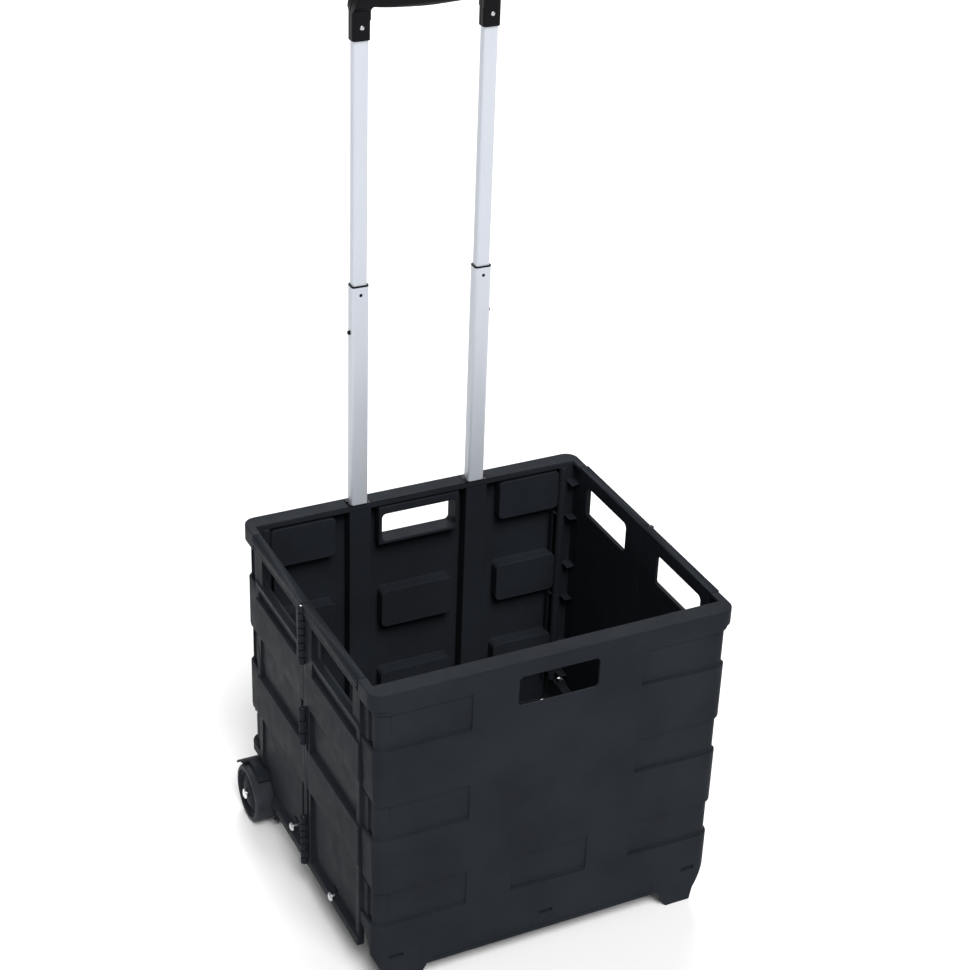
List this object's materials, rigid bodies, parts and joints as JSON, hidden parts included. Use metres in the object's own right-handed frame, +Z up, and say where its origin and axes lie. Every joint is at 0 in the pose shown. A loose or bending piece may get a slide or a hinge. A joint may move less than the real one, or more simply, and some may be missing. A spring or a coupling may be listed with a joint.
{
  "type": "folding shopping trolley",
  "caption": "Folding crate trolley: moulded box with bifold sides, lifting floor, rear wheels and a telescopic pull handle.",
  "frame": {"origin": "on the ground, below the middle of the crate", "axes": "+Z up, +Y from the front panel towards the back panel with the handle, +X to the right seen from the front"},
  "size_m": [0.4582, 0.376, 0.988],
  "materials": {
    "crate_plastic": "fine moulded texture",
    "black_plastic": "smooth satin",
    "tube_aluminium": "satin anodised",
    "steel": "zinc plated",
    "chrome_cap": "polished",
    "tyre_rubber": "smooth rubber"
  },
  "bodies": {
    "crate": {"back_panel": "crate_plastic", "left_sleeve": "crate_plastic", "right_sleeve": "crate_plastic", "left_bush": "black_plastic", "right_bush": "black_plastic", "left_bracket": "crate_plastic", "right_bracket": "crate_plastic", "left_axle": "steel", "right_axle": "steel", "left_axle_cap": "chrome_cap", "right_axle_cap": "chrome_cap", "rear_hinge_pins": "steel", "sleeve_rivets": "steel"},
    "left_wheel": {"left_hub": "crate_plastic", "left_tyre": "tyre_rubber"},
    "right_wheel": {"right_hub": "crate_plastic", "right_tyre": "tyre_rubber"},
    "left_rear": {"left_rear_side": "crate_plastic", "left_rear_stud": "steel", "left_middle_pins": "steel"},
    "left_front": {"left_front_side": "crate_plastic", "left_front_stud": "steel"},
    "right_rear": {"right_rear_side": "crate_plastic", "right_rear_stud": "steel", "right_middle_pins": "steel"},
    "right_front": {"right_front_side": "crate_plastic", "right_front_stud": "steel"},
    "front": {"front_panel": "crate_plastic", "front_hinge_pins": "steel", "floor_rod": "steel"},
    "floor": {"floor_panel": "crate_plastic"},
    "left_lower": {"left_lower_tube": "tube_aluminium", "left_lower_glide": "black_plastic", "left_collar": "black_plastic", "left_stop_rivet": "black_plastic"},
    "right_lower": {"right_lower_tube": "tube_aluminium", "right_lower_glide": "black_plastic", "right_collar": "black_plastic", "right_stop_rivet": "black_plastic"},
    "upper": {"left_upper_tube": "tube_aluminium", "right_upper_tube": "tube_aluminium", "upper_glides": "black_plastic", "grip_front": "black_plastic", "grip_back": "black_plastic", "grip_screws": "steel"},
    "left_snap": {"left_button": "black_plastic"},
    "right_snap": {"right_button": "black_plastic"}
  },
  "joints": [
    {"name": "left_wheel_spin", "type": "hinge", "parent": "crate", "child": "left_wheel", "pos_m": [-0.2115, 0.152, 0.035], "axis": [1, 0, 0], "continuous": true},
    {"name": "right_wheel_spin", "type": "hinge", "parent": "crate", "child": "right_wheel", "pos_m": [0.2115, 0.152, 0.035], "axis": [1, 0, 0], "continuous": true},
    {"name": "fold", "type": "hinge", "parent": "crate", "child": "left_rear", "pos_m": [-0.188, 0.168, 0.2], "axis": [0, 0, 1], "range_deg": [0, 90]},
    {"name": "left_middle_hinge", "type": "hinge", "parent": "left_rear", "child": "left_front", "pos_m": [-0.2113, 0, 0.2], "axis": [0, 0, 1], "range_deg": [-180, 0]},
    {"name": "front_left_hinge", "type": "hinge", "parent": "left_front", "child": "front", "pos_m": [-0.188, -0.168, 0.2], "axis": [0, 0, 1], "range_deg": [0, 90]},
    {"name": "right_rear_hinge", "type": "hinge", "parent": "crate", "child": "right_rear", "pos_m": [0.188, 0.168, 0.2], "axis": [0, 0, 1], "range_deg": [-90, 0]},
    {"name": "right_middle_hinge", "type": "hinge", "parent": "right_rear", "child": "right_front", "pos_m": [0.2113, 0, 0.2], "axis": [0, 0, 1], "range_deg": [0, 180]},
    {"name": "floor_lift", "type": "hinge", "parent": "front", "child": "floor", "pos_m": [0, -0.161, 0.032], "axis": [1, 0, 0], "range_deg": [0, 90]},
    {"name": "left_lower_slide", "type": "slide", "parent": "crate", "child": "left_lower", "axis": [0, 0, -1], "range_m": [0, 0.255]},
    {"name": "right_lower_slide", "type": "slide", "parent": "crate", "child": "right_lower", "axis": [0, 0, -1], "range_m": [0, 0.255]},
    {"name": "upper_slide", "type": "slide", "parent": "left_lower", "child": "upper", "axis": [0, 0, -1], "range_m": [0, 0.262]},
    {"name": "left_button_press", "type": "slide", "parent": "left_lower", "child": "left_snap", "axis": [1, 0, 0], "range_m": [0, 0.0009], "stiffness_N_per_m": 400},
    {"name": "right_button_press", "type": "slide", "parent": "right_lower", "child": "right_snap", "axis": [-1, 0, 0], "range_m": [0, 0.0009], "stiffness_N_per_m": 400}
  ],
  "couplings": [
    {"joint": "left_middle_hinge", "follows": "fold", "ratio": -2},
    {"joint": "front_left_hinge", "follows": "fold", "ratio": 1},
    {"joint": "right_rear_hinge", "follows": "fold", "ratio": -1},
    {"joint": "right_middle_hinge", "follows": "fold", "ratio": 2},
    {"joint": "right_lower_slide", "follows": "left_lower_slide", "ratio": 1}
  ]
}
